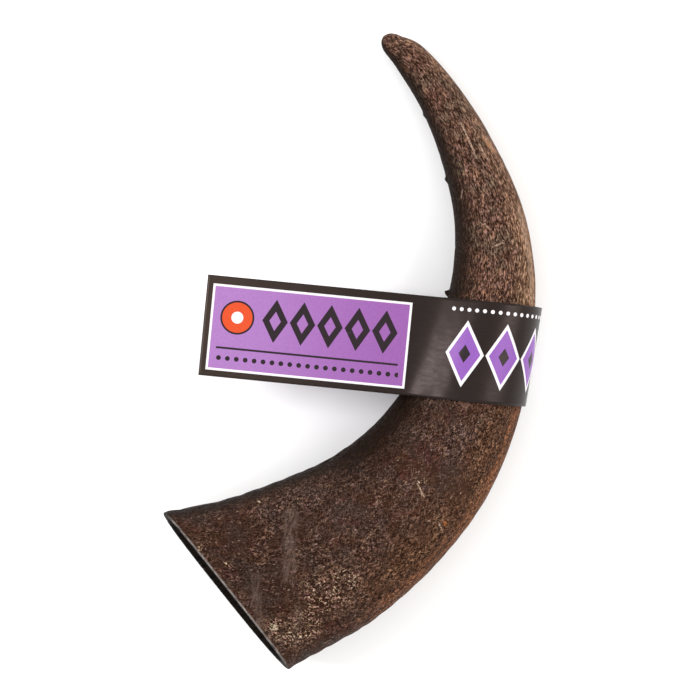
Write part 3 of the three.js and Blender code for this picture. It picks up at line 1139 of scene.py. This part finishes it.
def band_print(r, u, v, remaining, base):
    """The row of outlined lozenges. remaining is the distance from the strip's other end."""
    band = r.product(r.sum("GREATER_THAN", u, BAND_FROM), r.sum("GREATER_THAN", remaining, BAND_TO))
    gap_u = gap_in_row(r, u, BAND_FIRST, BAND_PITCH)
    gap_v = gap(r, v, BAND_HEIGHT)
    for size, ink in zip(BAND_LOZENGES, (WHITE_INK, BAND_VIOLET, INK)):
        base = r.mix(r.product(band, lozenge(r, gap_u, gap_v, *size)), base, ink)
    dots = dotted_line(r, u, v, *BAND_DOTS)
    return r.mix(r.product(band, dots), base, WHITE_INK)


print("band", round(ROUTE_LENGTH - BAND_FROM - BAND_TO), "mm long")

# %% [markdown]
# ## The card itself
# The card is dark and lightly coated, so it has a soft sheen. Its free end is painted lighter, which is
# painted sheen, and handling has scuffed pale hairlines along it. The back of the strip and its cut edges
# are bare board, with short fibres of pulp.

# %% Finishes of the card
CHARCOAL, SHEEN_CHARCOAL = colour(0.010, 0.0065, 0.005), colour(0.034, 0.023, 0.017)
DUSTY, RUBBED_CARD = colour(0.02, 0.015, 0.02), colour(0.5, 0.47, 0.45)
BOARD_GREY, BOARD_CREAM = colour(0.42, 0.39, 0.35), colour(0.58, 0.55, 0.50)


def print_finish():
    r = Recipe("printed_card", 0.3, 0.2)
    r.shader.inputs["Specular Tint"].default_value = colour(1.0, 0.80, 0.76)
    place = r.attribute("strip", "Vector")
    u, v, remaining = r.split(place)
    # Painted sheen: the card is painted lighter towards the flag's free end.
    painted_sheen = r.product(r.ramp(u, 95, 0), r.ramp(r.noise(place, 0.03, 3), 0.3, 0.7, 0.6, 1.0))
    base = r.mix(painted_sheen, CHARCOAL, SHEEN_CHARCOAL)
    base = panel_print(r, u, v, base)
    base = panel_print(r, remaining, v, base)
    base = band_print(r, u, v, remaining, base)
    specks = r.noise(place, 1.6, 3, 0.7)
    base = r.mix(r.ramp(specks, 0.35, 0.65, 0.0, 0.16), base, DUSTY)
    rub = r.noise(r.stretched(place, 0.2, 0.6, 0), 1, 5, 0.75, 0.5)
    base = r.mix(r.ramp(rub, 0.66, 0.8, 0.0, 0.25), base, RUBBED_CARD)
    r.wear(r.sum("ADD", r.noise(place, 0.07, 1), r.product(specks, 0.03)), 0.4, 0.5)
    return r.finish(base, r.ramp(rub, 0.3, 0.7, 0.25, 0.38))


def board_finish():
    r = Recipe("bare_board", 0.8)
    place = r.attribute("strip", "Vector")
    pulp = r.noise(r.stretched(place, 1, 2.4, 1), 1.1, 4, 0.7)
    base = r.mix(r.ramp(pulp, 0.3, 0.7), BOARD_GREY, BOARD_CREAM)
    r.wear(pulp, 0.12, 0.7)
    return r.finish(base, r.ramp(pulp, 0.3, 0.7, 0.72, 0.9))


label = finish_mesh("label_strip", card_mesh, [print_finish(), board_finish()])
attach(label, "root")
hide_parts("card_label")

# %% [markdown]
# ## Floor and light
# A pale floor and three soft sources: the sky of the studio all round, a key from the right
# that warms the convex side, and a softbox above on the left that puts a sheen on the card.

# %% Floor and lights
FLOOR_SIZE = 6
FLOOR_DROP = 0.1  # keeps the floor just clear of the horn
SKY = 1.06


def pale_floor():
    bm = bmesh.new()
    bmesh.ops.create_grid(bm, x_segments=1, y_segments=1, size=FLOOR_SIZE / 2)
    bmesh.ops.translate(bm, verts=bm.verts[:], vec=(0, 0, -FLOOR_DROP * MM))
    r = Recipe("pale_floor", 0.9)
    r.shader.inputs["Base Color"].default_value = colour(0.93, 0.93, 0.93)
    r.shader.inputs["Specular IOR Level"].default_value = 0.0
    mesh = bpy.data.meshes.new("floor")
    bm.to_mesh(mesh)
    bm.free()
    mesh.materials.append(r.material)
    made = bpy.data.objects.new("floor", mesh)
    scene.collection.objects.link(made)
    return made


def softbox(name, place, size, power, tint=(1, 1, 1)):
    """A square light that looks at the middle of the horn."""
    light = bpy.data.lights.new(name, "AREA")
    light.size = size
    light.energy = power
    light.color = tint
    made = bpy.data.objects.new(name, light)
    made.location = place
    made.rotation_euler = (-Vector(place)).to_track_quat("-Z", "Y").to_euler()
    scene.collection.objects.link(made)
    return made


pale_floor()
world = bpy.data.worlds.new("studio")
world.use_nodes = True
world.node_tree.nodes["Background"].inputs["Color"].default_value = colour(1, 1, 1)
world.node_tree.nodes["Background"].inputs["Strength"].default_value = SKY
scene.world = world
softbox("key_right", (0.85, 0.15, 0.75), 0.6, 6, (1, 0.97, 0.93))
softbox("softbox_left", (-0.85, 0.2, 1.0), 0.45, 10)
scene.view_settings.view_transform = "Standard"

# %% [markdown]
# ## Check the fit
# The last step measures how far the detailed pieces lie from the plain solids. The detailed object stays
# inside the frame's box.


# %% Measure and finish
def widest_gap(piece, node):
    """Largest distance from the piece's vertices to the surface of its plain solid."""
    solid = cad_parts[node].data
    tree = BVHTree.FromPolygons([v.co for v in solid.vertices], [p.vertices[:] for p in solid.polygons])
    return max(tree.find_nearest(v.co)[3] for v in list(piece.data.vertices)[::7]) / MM


print("horn strays", round(widest_gap(horn, "horn"), 2), "mm from its solid")
print("card strays", round(widest_gap(label, "card_label"), 2), "mm from its solid")
